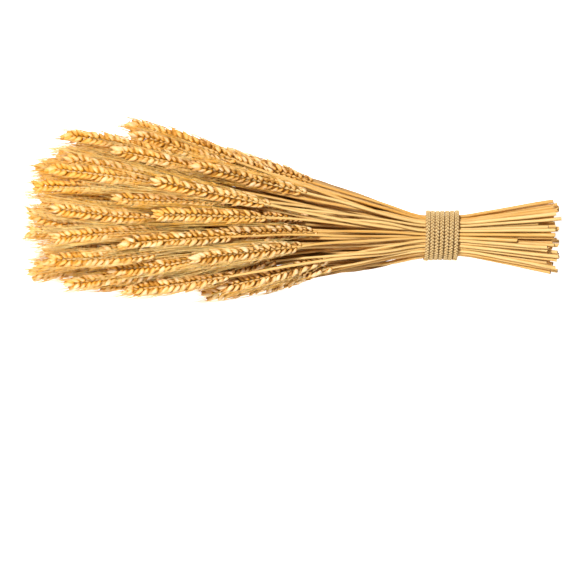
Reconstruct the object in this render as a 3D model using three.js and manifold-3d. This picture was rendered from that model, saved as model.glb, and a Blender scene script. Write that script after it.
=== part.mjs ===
// A bundle of dried bearded wheat, tied with jute twine and laid on its side.
// Millimetres, +Z up. The ears point to -X, the cut ends to +X, and the bundle rests on z = 0.
import * as THREE from 'three';
import { mergeVertices } from 'three/addons/utils/BufferGeometryUtils.js';
import Module from 'manifold-3d';

// Straw stems
const STEM_SIDE = 2.7;
const STEM_GAP = 0.3;
const PAIR_SINK = 0.3;
const ROW_PITCH = 3.1;
const ROWS = [4, 8, 10, 12, 12, 12, 12, 10, 8, 4];
const CUT_END_X = 224;
const CUT_END_RAGGED = 13;
const SHORT_STEM = 26;
const SHORT_STEM_SHARE = 0.1;
const FLARE_SIDEWAYS = 0.98;
const FLARE_TO_MINUS_Y = 1.6;
const FLARE_UP = 0.42;
const FLARE_STILL_Z = 13;
const FAN_SIDEWAYS = 0.012;
const FAN_UP = 0.012;
const FAN_STILL_Z = 12;
const END_SCATTER_SIDEWAYS = 0.85;
const END_SCATTER_UP = 0.5;

// Twine binding
const TWINE = 3.7;
const TURNS = 7;
const TURN_PITCH = 3.95;
const TIE_X = 125.5;
const TIE_HALF_WIDTH = 17.4;
const TIE_HALF_HEIGHT = 16;
const TIE_Z = TIE_HALF_HEIGHT + TWINE + 0.5;
const TWINE_GAP = 0.35;
const TWINE_CORNERS = 6;
const STEPS_A_TURN = 16;
const TIE_REACH = 17.5;

// Ears
const EAR_LENGTH = 95;
const SPIKELETS = 13;
const EAR_HALF_WIDTH = 6.3;
const EAR_ROOM = EAR_HALF_WIDTH + 0.3;
const EAR_HALF_THICKNESS = 3.3;
const WAIST = 2.4;
const RIDGE = 0.9;
const SPIKELET_LEAN = 1.3;
const TIP_HALF_WIDTH = 1.2;
const AWNED = 2;
const AWN_REACH = 14;
const AWN_MEET = AWN_REACH / 1.2;
const AWN_HALF_WIDTH = 1;
const AWN_HALF_THICKNESS = 0.8;
const AWN_SPREAD = 0.14;
const SHORTEST_AWN = 0.5;
const AWN_LENGTHENING = 0.3;

// Ears that show from above: the step down for each ear over them, their turn and how far they give way
const LEVEL_A_LAYER = 0.2;
const TOP_ROLL = 0.35;
const TOP_GIVE = 0.15;

// Ears inside and underneath: their highest level, depth, width, tips along the bundle and scatter
const INNER_TOP_LEVEL = 0.5;
const INNER_DEPTH = 1.5;
const INNER_ACROSS = 0.86;
const ACROSS_STRIDE = 0.618034;
const INNER_TIP_X = -212;
const INNER_TIP_RANGE = 126;
const ALONG_STRIDE = 0.7548777;
const ALONG_START = 0.3;
const INNER_LENGTH = 92;
const INNER_LENGTH_SCATTER = 4;
const TIP_SCATTER = 5;
const FOOT_SCATTER = 2;
const INNER_ROLL = 0.6;
const INNER_GIVE = 0.8;

// Courses of the stalks, in steps along the bundle
const STEP = 30;
const STEPS = 12;
const PARTS_A_STEP = 5;
const PAIRED_PARTS = 2;
const CLEARANCE = 0.65;
const EAR_CLEARANCE = 0.5;
const EAR_START = 4;
const LAST_STEM_RING = 7;

// Passes in which the courses are bent clear: in the first ones they are drawn back to their wished places
const PASSES = 700;
const SMOOTH_PASSES = 350;
const LAST_PASSES = 150;
const PUSH = 0.2;
const PUSH_UP_HILL = 1e-4;
const LATE_GIVE = 0.45;
const FIRST_SMOOTHING = 0.12;
const LATE_SMOOTHING = 0.04;
const SETTLING = 0.05;
const SETTLING_UP = 0.15;

// Outline of the bundle at points along it: x, middle y, half width, middle z, half height.
const OUTLINE = [
  [108, 0, 17.4, 20.2, 16],
  [45, 2, 30, 25, 22],
  [17, 3, 38, 31, 28],
  [-18, 5, 47, 35, 32],
  [-73, 14, 55, 37, 33],
  [-115, 17, 54, 37, 33],
  [-155, 22, 52, 36, 32],
  [-190, 20, 52, 33, 29],
  [-225, 10, 42, 28, 23],
];

// Ears that show from above: tip x, tip y, foot x, foot y, and how many ears lie over it.
const TOP_EARS = [
  [-135, 90, -40, 54, 1],
  [-98, 79, -10, 46, 2],
  [-70, 70, 18, 38, 2],
  [-133, 77, -46, 41, 1],
  [-188, 80, -97, 62, 2],
  [-186, 64, -93, 48, 1],
  [-200, 55, -107, 42, 0.5],
  [-211, 39, -119, 36, 1],
  [-146, 69, -55, 45, 0.3],
  [-82, 55, 13, 30, 0],
  [-114, 44, -17, 21, 0],
  [-146, 28, -52, 27, 0.5],
  [-112, 17, -20, 20, 0.5],
  [-76, 27, 15, 21, 0.5],
  [-66, 3, 22, 10, 0],
  [-216, 20, -126, -6, 1.5],
  [-196, 22, -105, 8, 0.5],
  [-217, 0, -128, 5, 2],
  [-196, -4, -104, 3, 1],
  [-194, -11, -103, 0, 1.6],
  [-200, -17, -106, -6, 1],
  [-159, -11, -66, -4, 1],
  [-140, -10, -44, 0, 0],
  [-150, -26, -58, -13, 0],
  [-82, -17, 9, -1, 0],
  [-216, -32, -126, -18, 2.5],
  [-210, -25, -118, -12, 1.5],
  [-186, -39, -94, -23, 1.8],
  [-137, -40, -46, -23, 1.2],
  [-100, -36, -12, -13, 0.8],
  [-82, -26, 9, -8, 1],
  [-60, -38, 31, -10, 0.6],
  [-52, -40, 34, -18, 2],
  [-73, -46, 20, -26, 3],
];

const wasm = await Module();
wasm.setup();

const straw = new THREE.MeshStandardMaterial({ color: 0xdfae62, roughness: 0.62, metalness: 0 });
const jute = new THREE.MeshStandardMaterial({ color: 0xb59768, roughness: 0.9, metalness: 0 });

// A small repeatable random number from 0 to 1.
function makeRandom(seed) {
  let state = seed;
  return () => {
    state = (state * 1664525 + 1013904223) % 4294967296;
    return state / 4294967296;
  };
}

const random = makeRandom(7);

function spread(range) {
  return (random() * 2 - 1) * range;
}

function mix(from, to, share) {
  return from + (to - from) * share;
}

// The bundle's outline at x, between the listed points.
function outlineAt(x) {
  const last = OUTLINE.length - 1;
  let i = 0;
  while (i < last - 1 && x < OUTLINE[i + 1][0]) i += 1;
  const from = OUTLINE[i];
  const to = OUTLINE[i + 1];
  const share = Math.min(Math.max((from[0] - x) / (from[0] - to[0]), 0), 1);
  return from.map((value, k) => mix(value, to[k], share));
}

// Height of an ear's middle, from its place across the bundle and its depth: 1 on top, -1 underneath.
function heightAt(x, y, level) {
  const [, middle, halfWidth, middleZ, halfHeight] = outlineAt(x);
  const across = Math.min(Math.abs(y - middle) / halfWidth, 1);
  return middleZ + halfHeight * Math.sqrt(1 - across * across) * level;
}

// The ears that show from above, with their heights.
function topEars() {
  return TOP_EARS.map(([tipX, tipY, footX, footY, over]) => {
    const level = 1 - LEVEL_A_LAYER * over;
    return {
      tip: [tipX, tipY, heightAt(tipX, tipY, level)],
      foot: [footX, footY, heightAt(footX, footY, level)],
      roll: spread(TOP_ROLL),
      give: TOP_GIVE,
    };
  });
}

// The ears inside the bundle and underneath it, spread evenly through its depth and length.
function innerEars(count) {
  const ears = [];
  for (let i = 0; i < count; i += 1) {
    const level = INNER_TOP_LEVEL - INNER_DEPTH * ((i + 0.5) / count);
    const across = INNER_ACROSS * (2 * ((i * ACROSS_STRIDE) % 1) - 1);
    const tipX = INNER_TIP_X + INNER_TIP_RANGE * ((i * ALONG_STRIDE + ALONG_START) % 1);
    const footX = tipX + INNER_LENGTH + spread(INNER_LENGTH_SCATTER);
    const [, tipMiddle, tipHalf] = outlineAt(tipX);
    const [, footMiddle, footHalf] = outlineAt(footX);
    const tipY = tipMiddle + tipHalf * across + spread(TIP_SCATTER);
    const footY = footMiddle + footHalf * across + spread(FOOT_SCATTER);
    ears.push({
      tip: [tipX, tipY, heightAt(tipX, tipY, level)],
      foot: [footX, footY, heightAt(footX, footY, level)],
      roll: spread(INNER_ROLL),
      give: INNER_GIVE,
    });
  }
  return ears;
}

// Where each stem passes through the tie: rows on top of each other, each row's stems
// pressed together in pairs.
function tiePlaces() {
  const places = [];
  const pairWidth = 2 * STEM_SIDE - PAIR_SINK;
  ROWS.forEach((count, row) => {
    const z = TIE_Z + ((ROWS.length - 1) / 2 - row) * ROW_PITCH;
    const pairs = count / 2;
    const width = pairs * pairWidth + (pairs - 1) * STEM_GAP;
    for (let pair = 0; pair < pairs; pair += 1) {
      const start = width / 2 - pair * (pairWidth + STEM_GAP);
      places.push({ y: start - STEM_SIDE / 2, z });
      places.push({ y: start - pairWidth + STEM_SIDE / 2, z });
    }
  });
  return places;
}

// A stalk's wished course, as y and z at each step from the tie to beyond the awns.
function wishedCourse(ear, place) {
  const [footX, footY, footZ] = ear.foot;
  const [tipX, tipY, tipZ] = ear.tip;
  const slopeY = (tipY - footY) / (footX - tipX);
  const slopeZ = (tipZ - footZ) / (footX - tipX);
  const reach = TIE_X - TIE_REACH - footX;
  const course = [];
  for (let step = 0; step <= STEPS; step += 1) {
    const along = step * STEP;
    if (along >= reach) {
      course.push([footY + slopeY * (along - reach), footZ + slopeZ * (along - reach)]);
      continue;
    }
    const t = along / reach;
    const start = (1 - t) ** 2 * (1 + 2 * t);
    const end = t * t * (3 - 2 * t);
    const lead = (t * t * t - t * t) * reach;
    const leave = (t ** 3 - 2 * t * t + t) * reach;
    const y = start * place.y + end * footY + lead * slopeY + leave * place.y * FAN_SIDEWAYS;
    const z = start * place.z + end * footZ + lead * slopeZ + leave * (place.z - FAN_STILL_Z) * FAN_UP;
    course.push([y, z]);
  }
  return course;
}

// Half width and half thickness of a stalk at x, with its awns, as it lies. The awns draw together
// before they end.
function girthAt(stalk, x) {
  const stem = STEM_SIDE / 2;
  if (x > stalk.foot[0] + EAR_START) return [stem, stem, false];
  const beyond = Math.min(Math.max(stalk.tip[0] - x, 0) / AWN_MEET, 1);
  const width = mix(EAR_ROOM, AWN_HALF_WIDTH, beyond);
  const thickness = mix(EAR_HALF_THICKNESS, AWN_HALF_THICKNESS, beyond);
  const turned = Math.abs(Math.sin(stalk.roll));
  const level = Math.abs(Math.cos(stalk.roll));
  return [Math.hypot(width * level, thickness * turned), Math.hypot(width * turned, thickness * level), true];
}

// How far two stalks have to move apart, across and up, to be clear of each other. Two square stems need more
// room corner to corner, and an ear is oval.
function partingOf(a, b, gapY, gapZ) {
  const bothStems = !a[2] && !b[2];
  const room = CLEARANCE + (bothStems ? 0 : EAR_CLEARANCE);
  const reachY = a[0] + b[0] + room;
  const reachZ = a[1] + b[1] + room;
  const shareY = gapY / reachY;
  const shareZ = gapZ / reachZ;
  if (Math.abs(shareY) >= 1 || Math.abs(shareZ) >= 1) return null;
  const squareY = shareY * shareY;
  const squareZ = shareZ * shareZ;
  const share = bothStems
    ? Math.sqrt(Math.sqrt(squareY * squareY + squareZ * squareZ))
    : Math.sqrt(squareY + squareZ);
  if (share >= 1) return null;
  const pullY = (bothStems ? squareY * shareY : shareY) / reachY;
  const pullZ = (bothStems ? squareZ * shareZ : shareZ) / reachZ + PUSH_UP_HILL;
  const depth = ((1 - share) * Math.min(reachY, reachZ)) / Math.hypot(pullY, pullZ);
  return [depth * pullY, depth * pullZ];
}

// Bends the courses clear of each other, a little in each pass, and keeps them above the surface.
function clearCourses(stalks) {
  const parts = STEPS * PARTS_A_STEP;
  const girths = [];
  for (let part = 1; part <= parts; part += 1) {
    const x = TIE_X - TIE_REACH - (part * STEP) / PARTS_A_STEP;
    girths.push(stalks.map((stalk) => (x < stalk.tip[0] - AWN_REACH ? null : girthAt(stalk, x))));
  }
  for (let pass = 0; pass < PASSES; pass += 1) {
    const moves = stalks.map((stalk) => stalk.course.map(() => [0, 0]));
    for (let part = 1; part <= parts; part += 1) {
      const step = Math.min(Math.floor(part / PARTS_A_STEP), STEPS - 1);
      const share = part / PARTS_A_STEP - step;
      const spots = stalks.map(({ course }) => [
        mix(course[step][0], course[step + 1][0], share),
        mix(course[step][1], course[step + 1][1], share),
      ]);
      const girth = girths[part - 1];
      for (let i = 0; i < stalks.length; i += 1) {
        if (!girth[i]) continue;
        for (let j = i + 1; j < stalks.length; j += 1) {
          if (!girth[j]) continue;
          const gapY = spots[i][0] - spots[j][0];
          const gapZ = spots[i][1] - spots[j][1];
          const parting = partingOf(girth[i], girth[j], gapY, gapZ);
          if (!parting || (stalks[i].pair === stalks[j].pair && part <= PAIRED_PARTS)) continue;
          for (const [k, sign] of [[i, 1], [j, -1]]) {
            moves[k][step][0] += sign * parting[0] * (1 - share);
            moves[k][step][1] += sign * parting[1] * (1 - share);
            moves[k][step + 1][0] += sign * parting[0] * share;
            moves[k][step + 1][1] += sign * parting[1] * share;
          }
        }
      }
    }
    const first = pass < SMOOTH_PASSES;
    const late = pass < PASSES - LAST_PASSES ? LATE_SMOOTHING : 0;
    const smooth = first ? FIRST_SMOOTHING : late;
    const settle = first ? SETTLING : 0;
    stalks.forEach((stalk, k) => {
      const before = stalk.course.map((spot) => [...spot]);
      for (let step = 1; step <= STEPS; step += 1) {
        const spot = stalk.course[step];
        const next = before[Math.min(step + 1, STEPS)];
        const even = step < STEPS ? smooth : 0;
        const give = first ? stalk.give : Math.max(stalk.give, LATE_GIVE);
        spot[0] += moves[k][step][0] * PUSH * give;
        spot[1] += moves[k][step][1] * PUSH;
        spot[0] += settle * (stalk.wished[step][0] - before[step][0]);
        spot[1] += settle * (stalk.wished[step][1] - before[step][1]) * SETTLING_UP;
        spot[0] += even * ((before[step - 1][0] + next[0]) / 2 - before[step][0]);
        spot[1] += even * ((before[step - 1][1] + next[1]) / 2 - before[step][1]);
      }
      for (let step = 1; step <= STEPS; step += 1) {
        const x = TIE_X - TIE_REACH - step * STEP;
        const lowest = girthAt(stalk, x)[1];
        stalk.course[step][1] = Math.max(stalk.course[step][1], lowest);
      }
    });
  }
}

// Every stalk: its ear, its place in the tie, its course to the ear and its cut end.
function makeStalks() {
  const places = tiePlaces();
  const ears = [...topEars(), ...innerEars(places.length - TOP_EARS.length)];
  const reach = (ear) => TIE_X - TIE_REACH - ear.foot[0];
  ears.sort((a, b) => (b.foot[2] - TIE_Z) / reach(b) - (a.foot[2] - TIE_Z) / reach(a));
  const stalks = [];
  let first = 0;
  for (const count of ROWS) {
    const row = ears.slice(first, first + count).sort((a, b) => b.foot[1] / reach(b) - a.foot[1] / reach(a));
    stalks.push(...row);
    first += count;
  }
  stalks.forEach((stalk, i) => {
    stalk.pair = Math.floor(i / 2);
    stalk.place = places[i];
    stalk.wished = wishedCourse(stalk, places[i]);
    stalk.course = stalk.wished.map((spot) => [...spot]);
    const shortened = random() < SHORT_STEM_SHARE ? SHORT_STEM * mix(0.4, 1, random()) : 0;
    const endX = CUT_END_X - CUT_END_RAGGED * random() - shortened;
    const flare = (endX - TIE_X - TIE_REACH) / (CUT_END_X - TIE_X - TIE_REACH);
    stalk.end = [
      endX,
      places[i].y * (1 + FLARE_SIDEWAYS * flare) + (spread(END_SCATTER_SIDEWAYS) - FLARE_TO_MINUS_Y) * flare,
      places[i].z + (places[i].z - FLARE_STILL_Z) * FLARE_UP * flare + spread(END_SCATTER_UP) * flare,
    ];
  });
  clearCourses(stalks);
  return stalks;
}

// A stalk's middle at x.
function middleAt(stalk, x) {
  const along = Math.max((TIE_X - TIE_REACH - x) / STEP, 0);
  const step = Math.min(Math.floor(along), STEPS - 1);
  const share = along - step;
  const from = stalk.course[step];
  const to = stalk.course[step + 1];
  return [mix(from[0], to[0], share), mix(from[1], to[1], share)];
}

// A ring of the stem at x: its four corners round the middle.
function stemRing(x, y, z) {
  const half = STEM_SIDE / 2;
  return [[1, -1], [1, 1], [-1, 1], [-1, -1]].map(([across, up]) => [x, y + half * across, z + half * up]);
}

// A ring of the ear: one spikelet stands out to one side and leans towards the tip. The ear is fullest
// a little below its middle.
function earRing(stalk, index) {
  const pitch = (stalk.foot[0] - stalk.tip[0]) / SPIKELETS;
  const x = stalk.foot[0] - index * pitch;
  const along = index / SPIKELETS;
  const size = Math.sin(Math.PI * (0.25 + 0.45 * along)) ** 0.7;
  const side = index % 2 ? 1 : -1;
  const last = index === SPIKELETS;
  const awned = index >= SPIKELETS - AWNED && !last;
  const inner = index - SPIKELETS + AWNED;
  const awnX = stalk.tip[0] - AWN_REACH * (SHORTEST_AWN + AWN_LENGTHENING * inner);
  const lean = awned ? x - awnX : pitch * SPIKELET_LEAN;
  const stands = EAR_HALF_WIDTH * (awned ? 1 - AWN_SPREAD * inner : size);
  const cos = Math.cos(stalk.roll);
  const sin = Math.sin(stalk.roll);
  const corner = (ahead, across, up) => {
    const [y, z] = middleAt(stalk, x - ahead);
    return [x - ahead, y + across * cos - up * sin, z + across * sin + up * cos];
  };
  const thickness = last ? TIP_HALF_WIDTH : EAR_HALF_THICKNESS * size;
  const waist = last ? TIP_HALF_WIDTH : WAIST * size;
  const tip = corner(lean, side * stands, 0);
  const dip = corner(0, -side * waist, 0);
  const ridge = last ? 0 : side * RIDGE;
  const top = corner(0, ridge, thickness);
  const under = corner(0, ridge, -thickness);
  if (last) return [corner(0, waist, 0), top, corner(0, -waist, 0), under];
  return side > 0 ? [tip, top, dip, under] : [dip, top, tip, under];
}

// All rings of a stalk, from its cut end through the tie to the last spikelet.
function stalkRings(stalk) {
  const { y, z } = stalk.place;
  const tieLeft = TIE_X - TIE_REACH;
  const rings = [
    stemRing(...stalk.end),
    stemRing(TIE_X + TIE_REACH, y, z),
    stemRing(tieLeft, y, z),
  ];
  for (let step = 1; tieLeft - step * STEP > stalk.foot[0] + LAST_STEM_RING; step += 1) {
    rings.push(stemRing(tieLeft - step * STEP, ...stalk.course[step]));
  }
  rings.push(stemRing(stalk.foot[0] + 1, ...middleAt(stalk, stalk.foot[0] + 1)));
  for (let index = 1; index <= SPIKELETS; index += 1) rings.push(earRing(stalk, index));
  return rings;
}

// Splits the column's quads the other way round on two sides, so that both ranks of spikelets are alike.
function mirrorSplits(column, rows) {
  const index = column.index;
  for (const side of [0, 2]) {
    for (let row = 0; row < rows; row += 1) {
      const first = 6 * (side * rows + row);
      const [a, b, d, , c] = index.array.slice(first, first + 6);
      [a, b, c, a, c, d].forEach((corner, k) => index.setX(first + k, corner));
    }
  }
}

// One stalk: a four-sided column whose rings are laid along its course, ending in the awn at the tip.
function stalkGeometry(stalk) {
  const rings = stalkRings(stalk);
  const last = rings.length - 1;
  const column = new THREE.CylinderGeometry(1, 1, 1, 4, last);
  mirrorSplits(column, last);
  const position = column.attributes.position;
  const awnX = stalk.tip[0] - AWN_REACH;
  const awnTip = [awnX, ...middleAt(stalk, awnX)];
  const endMiddle = stalk.end;
  for (let i = 0; i < position.count; i += 1) {
    const row = Math.round((0.5 - position.getY(i)) * last);
    const out = Math.hypot(position.getX(i), position.getZ(i));
    const quarter = Math.round(Math.atan2(position.getX(i), position.getZ(i)) / (Math.PI / 2));
    const onAxis = row === 0 ? endMiddle : awnTip;
    const place = out < 0.5 ? onAxis : rings[row][(quarter + 4) % 4];
    position.setXYZ(i, ...place);
  }
  return closed(column);
}

// The geometry with its shared corners merged.
function closed(geometry) {
  const bare = geometry.clone();
  bare.deleteAttribute('normal');
  bare.deleteAttribute('uv');
  return mergeVertices(bare, 1e-4);
}

function solidOf(geometry) {
  const vertProperties = new Float32Array(geometry.attributes.position.array);
  const triVerts = new Uint32Array(geometry.index.array);
  return new wasm.Manifold(new wasm.Mesh({ numProp: 3, vertProperties, triVerts }));
}

function geometryOf(solid) {
  const { vertProperties, triVerts } = solid.getMesh();
  const geometry = new THREE.BufferGeometry();
  geometry.setAttribute('position', new THREE.BufferAttribute(vertProperties, 3));
  geometry.setIndex(new THREE.BufferAttribute(triVerts, 1));
  geometry.computeVertexNormals();
  return geometry;
}

// Two neighbouring stalks, pressed into each other where the tie holds them.
function stalkPair(stalks, pair) {
  const one = solidOf(stalkGeometry(stalks[2 * pair]));
  const other = solidOf(stalkGeometry(stalks[2 * pair + 1]));
  const mesh = new THREE.Mesh(geometryOf(one.add(other)), straw);
  mesh.name = `wheat_stalks_${String(pair + 1).padStart(2, '0')}`;
  return mesh;
}

// The course of the twine: turns side by side around the oval of the stems, with both ends underneath.
class Winding extends THREE.Curve {
  getPoint(t) {
    const turn = (t - 0.5) * TURNS;
    const angle = Math.PI / 2 + turn * 2 * Math.PI;
    const halfWidth = TIE_HALF_WIDTH + TWINE / 2 + TWINE_GAP;
    const halfHeight = TIE_HALF_HEIGHT + TWINE / 2 + TWINE_GAP;
    return new THREE.Vector3(
      TIE_X - turn * TURN_PITCH,
      halfWidth * Math.cos(angle),
      TIE_Z + halfHeight * Math.sin(angle),
    );
  }
}

// The jute twine, wound round the stems.
function binding() {
  const section = new THREE.Shape();
  const radius = TWINE / 2;
  for (let corner = 0; corner < TWINE_CORNERS; corner += 1) {
    const angle = (corner + 0.5) * ((2 * Math.PI) / TWINE_CORNERS);
    section.lineTo(radius * Math.cos(angle), radius * Math.sin(angle));
  }
  const twine = new THREE.ExtrudeGeometry(section, {
    steps: TURNS * STEPS_A_TURN,
    extrudePath: new Winding(),
  });
  const mesh = new THREE.Mesh(twine, jute);
  mesh.name = 'jute_binding';
  return mesh;
}

// The whole bundle, its lowest points on z = 0 and its middle over the origin.
function bundle() {
  const group = new THREE.Group();
  const stalks = makeStalks();
  for (let pair = 0; pair < stalks.length / 2; pair += 1) group.add(stalkPair(stalks, pair));
  group.add(binding());
  const box = new THREE.Box3().setFromObject(group);
  const middle = box.getCenter(new THREE.Vector3());
  group.position.set(-middle.x, -middle.y, -box.min.z);
  const whole = new THREE.Group();
  whole.add(group);
  return whole;
}

export default bundle();
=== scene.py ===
import math

import bmesh
import bpy
import numpy as np
from mathutils import Euler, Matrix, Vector


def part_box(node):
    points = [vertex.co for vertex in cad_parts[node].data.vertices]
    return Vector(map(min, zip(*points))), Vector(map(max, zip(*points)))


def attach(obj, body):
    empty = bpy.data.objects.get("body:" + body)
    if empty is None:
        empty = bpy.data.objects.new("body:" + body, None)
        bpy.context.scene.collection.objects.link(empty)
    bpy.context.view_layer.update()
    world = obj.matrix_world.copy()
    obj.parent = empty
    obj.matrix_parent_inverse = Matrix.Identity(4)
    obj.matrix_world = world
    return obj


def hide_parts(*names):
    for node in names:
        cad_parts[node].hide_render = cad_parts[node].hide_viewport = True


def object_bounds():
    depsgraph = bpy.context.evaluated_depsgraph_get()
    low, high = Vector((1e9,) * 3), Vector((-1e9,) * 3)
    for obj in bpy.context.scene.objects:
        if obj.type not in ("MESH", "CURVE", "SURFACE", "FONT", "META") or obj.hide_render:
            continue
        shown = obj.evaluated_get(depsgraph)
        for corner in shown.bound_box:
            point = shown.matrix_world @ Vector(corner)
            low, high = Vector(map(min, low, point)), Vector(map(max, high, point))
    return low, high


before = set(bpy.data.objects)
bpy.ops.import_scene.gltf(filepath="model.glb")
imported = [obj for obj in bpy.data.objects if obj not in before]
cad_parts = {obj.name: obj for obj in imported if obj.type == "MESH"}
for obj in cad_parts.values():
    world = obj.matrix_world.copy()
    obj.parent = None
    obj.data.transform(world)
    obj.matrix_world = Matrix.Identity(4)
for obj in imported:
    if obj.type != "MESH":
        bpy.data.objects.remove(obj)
cad_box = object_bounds()
draw = np.random.default_rng(seed=11)

# Straw stems
# Each stem is the top stretch of a wheat stalk: a round, hollow, shiny straw, a little thicker at its cut
# end and thinner under the ear. It runs straight through the tie, bends gently outwards and goes on as the
# rachis that carries the spikelets, grown in one piece with its ear.

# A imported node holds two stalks, whose corners lie in rings across them. The middles of the rings give the
# courses of the stalks, and the rings of an ear give the way it is turned.
TIE_NODE = "jute_binding"
STRAIGHT_REACH = 0.0175
CLEAR_OF_PARTNER = 0.0185
SAME_RING = 2e-6
CUT_END_CORNERS = 5
STEM_CORNERS = 4
EAR_CORNERS = 3
RING_BEFORE_EAR = 0.001
COURSE_STEP = 0.002
ROW_PITCH = 0.0031
ROW_SHIFT = np.array([0, 0.0006, 0])
ROW_SHIFT_AT_END = np.array([0, 0.0013, 0])
BEND_SPAN = 0.026
TIP_KNOTS = 4
BEYOND_TIP = 0.11
BOX_MARGIN = 0.0002

tie_low, tie_high = (np.array(corner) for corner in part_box(TIE_NODE))
tie_middle = (tie_low + tie_high) / 2
stalk_nodes = sorted(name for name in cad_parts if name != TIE_NODE)


def corner_mesh(node):
    """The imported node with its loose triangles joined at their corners."""
    joined = bmesh.new()
    joined.from_mesh(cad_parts[node].data)
    bmesh.ops.remove_doubles(joined, verts=joined.verts, dist=SAME_RING)
    joined.verts.index_update()
    return joined


def connected(joined, furthest_x):
    """The points before furthest_x, in groups joined by edges: one group for each stalk."""
    left = {vertex.index: vertex for vertex in joined.verts if vertex.co.x < furthest_x}
    groups = []
    while left:
        reached = [left.pop(next(iter(left)))]
        for vertex in reached:
            for edge in vertex.link_edges:
                other = left.pop(edge.other_vert(vertex).index, None)
                if other is not None:
                    reached.append(other)
        groups.append(np.array([vertex.co for vertex in reached]))
    return groups


def rings_of(points):
    """The points in groups that lie in one plane across the stalk, from the cut end towards the tip."""
    points = points[np.argsort(-points[:, 0], kind="stable")]
    cuts = np.flatnonzero(-np.diff(points[:, 0]) > SAME_RING) + 1
    return [ring for ring in np.split(points, cuts) if len(ring) > 2]


def ridge_ends(ring):
    """The top and the bottom of an ear's ring."""
    ring = ring[np.argsort(ring[:, 2])]
    return ring[-1], ring[0]


def along_course(lengths, values, at):
    """Values given along a line, read at other lengths along it."""
    return np.stack([np.interp(at, lengths, column) for column in values.T], axis=1)


def unit(vectors):
    return vectors / np.linalg.norm(vectors, axis=1, keepdims=True)


class Course:
    """A stalk's middle line from its cut end to well beyond its ear, and the directions across it."""

    def __init__(self, knots, foot_x, tip_x, roll):
        back = knots[0] - knots[1]
        ahead = knots[-1] - knots[-TIP_KNOTS]
        start = knots[0] + back / np.linalg.norm(back) * BEND_SPAN
        end = knots[-1] + ahead / np.linalg.norm(ahead) * BEYOND_TIP
        knots = np.vstack([start, knots, end])
        steps = np.arange(-start[0], -end[0], COURSE_STEP)
        line = along_course(-knots[:, 0], knots, steps)
        window = np.hanning(round(BEND_SPAN / COURSE_STEP) + 2)[1:-1]
        smooth = [np.convolve(column, window / window.sum(), mode="valid") for column in line.T]
        line = np.stack(smooth, axis=1)
        lengths = np.concatenate([[0], np.cumsum(np.linalg.norm(np.diff(line, axis=0), axis=1))])
        self.line = line
        self.lengths = lengths
        self.ahead = unit(np.gradient(line, axis=0))
        self.start = self.length_at(knots[1, 0])
        self.foot = self.length_at(foot_x)
        self.tip = self.length_at(tip_x)
        self.roll = roll

    def length_at(self, x):
        return float(np.interp(-x, -self.line[:, 0], self.lengths))

    def lay(self, local, origin, roll):
        """Puts points given as along, across and up from a place on the course into the frame."""
        at = local[:, 0] + origin
        middle = along_course(self.lengths, self.line, at)
        ahead = unit(along_course(self.lengths, self.ahead, at))
        up = unit(np.array([0, 0, 1]) - ahead * ahead[:, 2:])
        across = np.cross(up, ahead)
        turned_across = math.cos(roll) * across + math.sin(roll) * up
        turned_up = math.cos(roll) * up - math.sin(roll) * across
        return middle + turned_across * local[:, 1:2] + turned_up * local[:, 2:3]


def cut_ends(joined):
    """The middles of the two cut ends: their corners and middle points share one x."""
    points = np.array([vertex.co for vertex in joined.verts])
    behind_tie = points[points[:, 0] > tie_middle[0] + STRAIGHT_REACH + SAME_RING]
    ends = [ring.mean(axis=0) for ring in rings_of(behind_tie) if len(ring) == CUT_END_CORNERS]
    return sorted(ends, key=lambda end: -end[1])


def stem_places(joined):
    """Where the node's two stems pass through the tie, across and up. They are pressed together there."""
    points = np.array([vertex.co for vertex in joined.verts])
    from_plane = np.abs(points[:, 0] - (tie_middle[0] + STRAIGHT_REACH))
    inside = points[from_plane < from_plane.min() + SAME_RING]
    low, high = inside.min(axis=0), inside.max(axis=0)
    half = (high[2] - low[2]) / 2
    return [(high[1] - half, low[2] + half), (low[1] + half, low[2] + half)]


def courses_of(node):
    """The courses of the node's two stalks."""
    joined = corner_mesh(node)
    free = connected(joined, tie_middle[0] - STRAIGHT_REACH - CLEAR_OF_PARTNER)
    free.sort(key=lambda points: -rings_of(points)[0][:, 1].mean())
    courses = []
    for points, end, place in zip(free, cut_ends(joined), stem_places(joined)):
        rings = rings_of(points)
        stem_rings = [ring for ring in rings[:-1] if len(ring) == STEM_CORNERS]
        ear_rings = [ring for ring in rings[:-1] if len(ring) == EAR_CORNERS]
        ridges = np.array([ridge_ends(ring) for ring in ear_rings])
        middles = ridges.mean(axis=1)
        even = (middles[:-2] + 2 * middles[1:-1] + middles[2:]) / 4
        rise = ridges[:, 0] - ridges[:, 1]
        roll = float(np.median(np.arctan2(rise[:, 1], rise[:, 2])))
        tip = rings[-1].mean(axis=0)
        row = round((place[1] - tie_middle[2]) / ROW_PITCH - 0.5)
        shifted = 1 if row % 2 else -1
        knots = [end + shifted * ROW_SHIFT_AT_END]
        for side in (1, -1):
            knots.append(np.array([tie_middle[0] + side * STRAIGHT_REACH, *place]) + shifted * ROW_SHIFT)
        knots += [ring.mean(axis=0) for ring in stem_rings]
        knots += [*even, tip]
        foot_x = stem_rings[-1][0, 0] - RING_BEFORE_EAR
        courses.append(Course(np.array(knots), foot_x, tip[0], roll))
    joined.free()
    return courses


courses = {node: courses_of(node) for node in stalk_nodes}
all_courses = [course for node in stalk_nodes for course in courses[node]]

LOWEST = np.array(cad_box[0]) + BOX_MARGIN
HIGHEST = np.array(cad_box[1]) - BOX_MARGIN
STRAW_SIDES = 10
STRAW_STEPS = 44
STRAW_WALL = 0.0005
STRAW_HOLLOW = 0.03
STRAW_RIM = 0.0008
STRAW_REACH_IN_EAR = 0.93
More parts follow.
